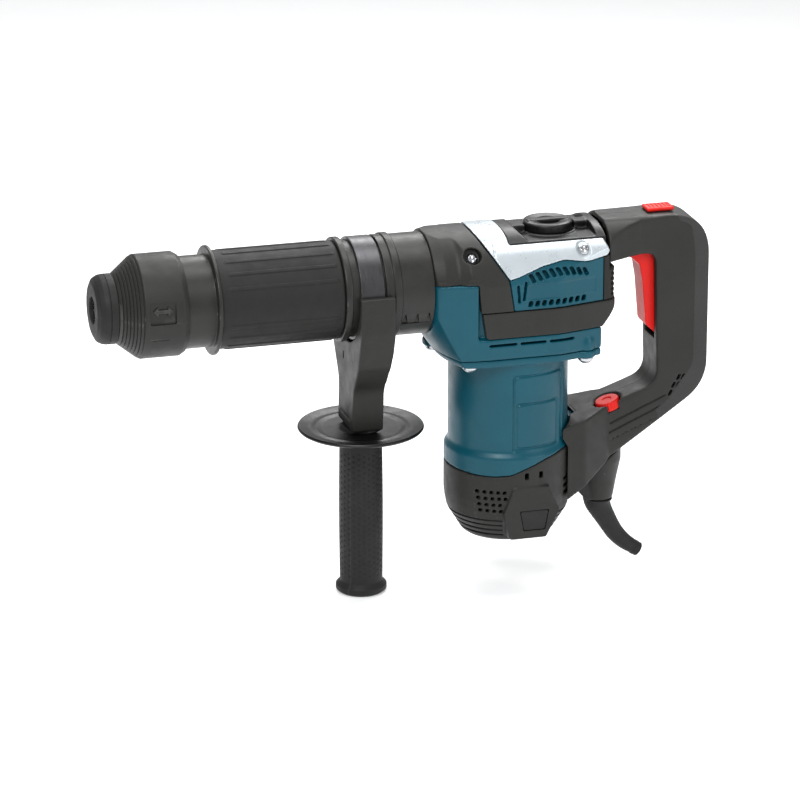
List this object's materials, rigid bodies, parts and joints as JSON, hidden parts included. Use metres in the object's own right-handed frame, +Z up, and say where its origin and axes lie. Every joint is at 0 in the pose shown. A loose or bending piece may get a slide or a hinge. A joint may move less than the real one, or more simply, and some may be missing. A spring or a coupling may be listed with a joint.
{
  "type": "electric demolition hammer",
  "caption": "Hand-held electric demolition hammer with a round barrel, swivelling side handle, upright oval motor and closed rear handle.",
  "frame": {"origin": "middle of the D-handle's grip, where the rear hand holds the tool", "axes": "+X from the nose back to the rear grip along the barrel, +Z up from the side grip to the top cover"},
  "size_m": [0.471, 0.0954, 0.2844],
  "materials": {
    "black_plastic": "fine textured moulding",
    "black_metal": "satin black powder coat",
    "rubber": "matt soft grip",
    "blue_paint": "satin blue",
    "blue_plastic": "satin blue moulding",
    "silver": "satin silver",
    "red_plastic": "satin red",
    "steel": "ground steel",
    "dark_steel": "blackened steel",
    "copper": "copper",
    "carbon": "carbon"
  },
  "bodies": {
    "hammer": {"barrel_housing": "black_metal", "barrel_grip_sleeve": "rubber", "cylinder_tube": "steel", "gear_housing": "blue_paint", "front_shroud": "black_plastic", "side_trim": "silver", "top_cover": "black_plastic", "vent_panel_left": "blue_plastic", "vent_panel_right": "blue_plastic", "side_strip": "black_plastic", "rear_cap": "rubber", "motor_housing": "blue_plastic", "motor_cap": "black_plastic", "brush_cover_left": "black_plastic", "brush_cover_right": "black_plastic", "carbon_brush_left": "carbon", "carbon_brush_right": "carbon", "stator_core": "dark_steel", "field_winding": "copper", "motor_bearing_upper": "steel", "motor_bearing_lower": "steel", "crank_bearing": "dark_steel", "flange_screw_1": "steel", "flange_screw_2": "steel", "flange_screw_3": "steel", "flange_screw_4": "steel"},
    "tool_holder": {"tool_holder": "steel", "nose_cap": "rubber", "locking_bar_left": "steel", "locking_bar_right": "steel", "sleeve_spring": "steel"},
    "locking_sleeve": {"locking_sleeve": "black_plastic"},
    "impact_bolt": {"impact_bolt": "steel"},
    "striker": {"striker": "steel"},
    "piston": {"piston": "steel"},
    "crank": {"crank_gear": "steel"},
    "connecting_rod": {"connecting_rod": "steel"},
    "armature": {"armature_shaft": "steel", "armature_core": "dark_steel", "commutator": "copper", "fan": "black_plastic"},
    "side_handle": {"clamp_band": "dark_steel", "handle_yoke": "black_plastic", "guard_disc": "black_plastic"},
    "side_grip": {"side_grip": "rubber"},
    "clamp_bolt": {"clamp_bolt": "steel"},
    "selector_knob": {"selector_knob": "black_plastic"},
    "rear_handle": {"handle_shell_left": "black_plastic", "handle_shell_right": "black_plastic", "grip_overmould": "rubber", "trigger_switch": "black_plastic", "speed_controller": "blue_plastic", "handle_pivot_pin": "steel", "cable_gland": "black_plastic", "cable_boot": "rubber"},
    "trigger": {"trigger": "red_plastic"},
    "lock_button": {"lock_button": "red_plastic"},
    "speed_dial": {"speed_dial": "red_plastic"}
  },
  "joints": [
    {"name": "tool_holder_turn", "type": "hinge", "parent": "hammer", "child": "tool_holder", "pos_m": [-0.369, 0, 0.03], "axis": [1, 0, 0], "continuous": true},
    {"name": "locking_sleeve_slide", "type": "slide", "parent": "tool_holder", "child": "locking_sleeve", "axis": [1, 0, 0], "range_m": [0, 0.009], "stiffness_N_per_m": 600, "deforming": ["sleeve_spring"]},
    {"name": "impact_bolt_slide", "type": "slide", "parent": "hammer", "child": "impact_bolt", "axis": [1, 0, 0], "range_m": [-0.004, 0]},
    {"name": "striker_slide", "type": "slide", "parent": "hammer", "child": "striker", "axis": [1, 0, 0], "range_m": [-0.006, 0.004]},
    {"name": "piston_slide", "type": "slide", "parent": "hammer", "child": "piston", "axis": [1, 0, 0], "range_m": [0, 0.02]},
    {"name": "crank_turn", "type": "hinge", "parent": "hammer", "child": "crank", "pos_m": [-0.1646, 0, 0], "axis": [0, 0, 1], "continuous": true},
    {"name": "connecting_rod_swing", "type": "hinge", "parent": "crank", "child": "connecting_rod", "pos_m": [-0.1746, 0, 0.03], "axis": [0, 0, 1], "continuous": true},
    {"name": "armature_turn", "type": "hinge", "parent": "hammer", "child": "armature", "pos_m": [-0.131, 0, -0.07], "axis": [0, 0, 1], "continuous": true},
    {"name": "side_handle_swivel", "type": "hinge", "parent": "hammer", "child": "side_handle", "pos_m": [-0.246, 0, 0.03], "axis": [1, 0, 0], "continuous": true},
    {"name": "side_grip_turn", "type": "hinge", "parent": "side_handle", "child": "side_grip", "pos_m": [-0.246, 0, -0.15], "axis": [0, 0, 1], "range_deg": [0, 720]},
    {"name": "clamp_bolt_slide", "type": "slide", "parent": "side_handle", "child": "clamp_bolt", "axis": [0, 0, 1], "range_m": [0, 0.0026]},
    {"name": "selector_knob_turn", "type": "hinge", "parent": "hammer", "child": "selector_knob", "pos_m": [-0.101, 0, 0.064], "axis": [0, 0, 1], "range_deg": [0, 90]},
    {"name": "handle_rock", "type": "hinge", "parent": "hammer", "child": "rear_handle", "pos_m": [-0.072, 0, -0.092], "axis": [0, 1, 0], "range_deg": [-0.6, 0.6], "stiffness_Nm_per_rad": 190},
    {"name": "trigger_squeeze", "type": "hinge", "parent": "rear_handle", "child": "trigger", "pos_m": [-0.039, 0, 0.045], "axis": [0, -1, 0], "range_deg": [0, 6], "stiffness_Nm_per_rad": 0.6, "springref_deg": -2.86},
    {"name": "lock_button_slide", "type": "slide", "parent": "rear_handle", "child": "lock_button", "axis": [-1, 0, 0], "range_m": [0, 0.005]},
    {"name": "speed_dial_turn", "type": "hinge", "parent": "rear_handle", "child": "speed_dial", "pos_m": [-0.0555, -0.009, -0.07289], "axis": [-0.3022, 0, 0.9533], "range_deg": [0, 270]}
  ],
  "couplings": [
    {"joint": "connecting_rod_swing", "follows": "crank_turn", "ratio": -1},
    {"joint": "armature_turn", "follows": "crank_turn", "ratio": -5},
    {"joint": "clamp_bolt_slide", "follows": "side_grip_turn", "m_per_rad": 0.00019894}
  ]
}
